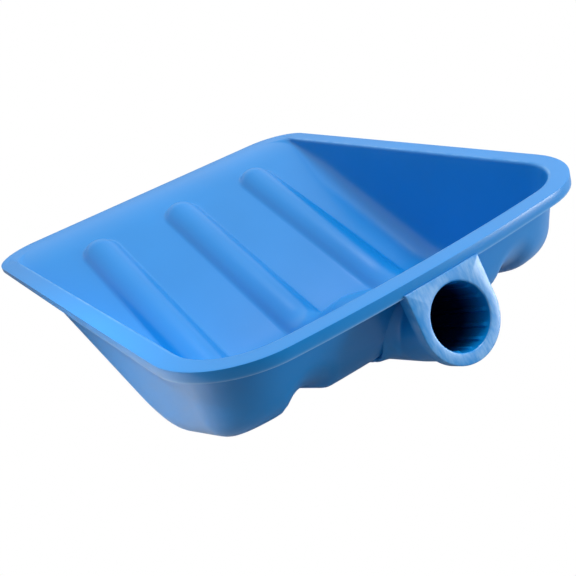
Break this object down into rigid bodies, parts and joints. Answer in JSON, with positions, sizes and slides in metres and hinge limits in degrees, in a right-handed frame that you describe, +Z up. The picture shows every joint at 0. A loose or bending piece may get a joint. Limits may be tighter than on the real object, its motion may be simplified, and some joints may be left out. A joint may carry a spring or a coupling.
{
  "type": "mortar scoop head",
  "caption": "One-piece moulded pan with a flat rim, ribbed floor and a digging lip, and a splined socket at the back for a round handle.",
  "frame": {"origin": "centre of the bounding box on the ground plane, with the head standing on its belly and front edge", "axes": "+Z up, -Y towards the digging edge, +Y towards the handle socket, +X to the right seen from behind the handle"},
  "size_m": [0.2684, 0.3592, 0.1231],
  "materials": {
    "pan_plastic": "semi-gloss moulded polypropylene, dyed blue through its thickness",
    "rim_plastic": "semi-gloss moulded polypropylene, dyed blue through its thickness",
    "socket_plastic": "semi-gloss moulded polypropylene, dyed blue through its thickness"
  },
  "bodies": {
    "root": {"front_lip": "pan_plastic", "front_corner_left": "pan_plastic", "front_corner_right": "pan_plastic", "floor_front": "pan_plastic", "floor_outer_left": "pan_plastic", "floor_inner_left": "pan_plastic", "floor_inner_right": "pan_plastic", "floor_outer_right": "pan_plastic", "rib_left": "pan_plastic", "rib_centre": "pan_plastic", "rib_right": "pan_plastic", "side_wall_left": "pan_plastic", "side_wall_right": "pan_plastic", "corner_wall_left": "pan_plastic", "corner_wall_right": "pan_plastic", "back_wall_left": "pan_plastic", "back_wall_centre": "pan_plastic", "back_wall_right": "pan_plastic", "rim_left": "rim_plastic", "rim_right": "rim_plastic", "rim_corner_left": "rim_plastic", "rim_corner_right": "rim_plastic", "rim_back": "rim_plastic", "skirt_left": "rim_plastic", "skirt_right": "rim_plastic", "skirt_corner_left": "rim_plastic", "skirt_corner_right": "rim_plastic", "skirt_back": "rim_plastic", "socket_tube": "socket_plastic", "socket_collar": "socket_plastic", "socket_saddle": "socket_plastic", "socket_end": "socket_plastic", "socket_fairing": "socket_plastic", "grip_splines": "socket_plastic"}
  },
  "joints": []
}
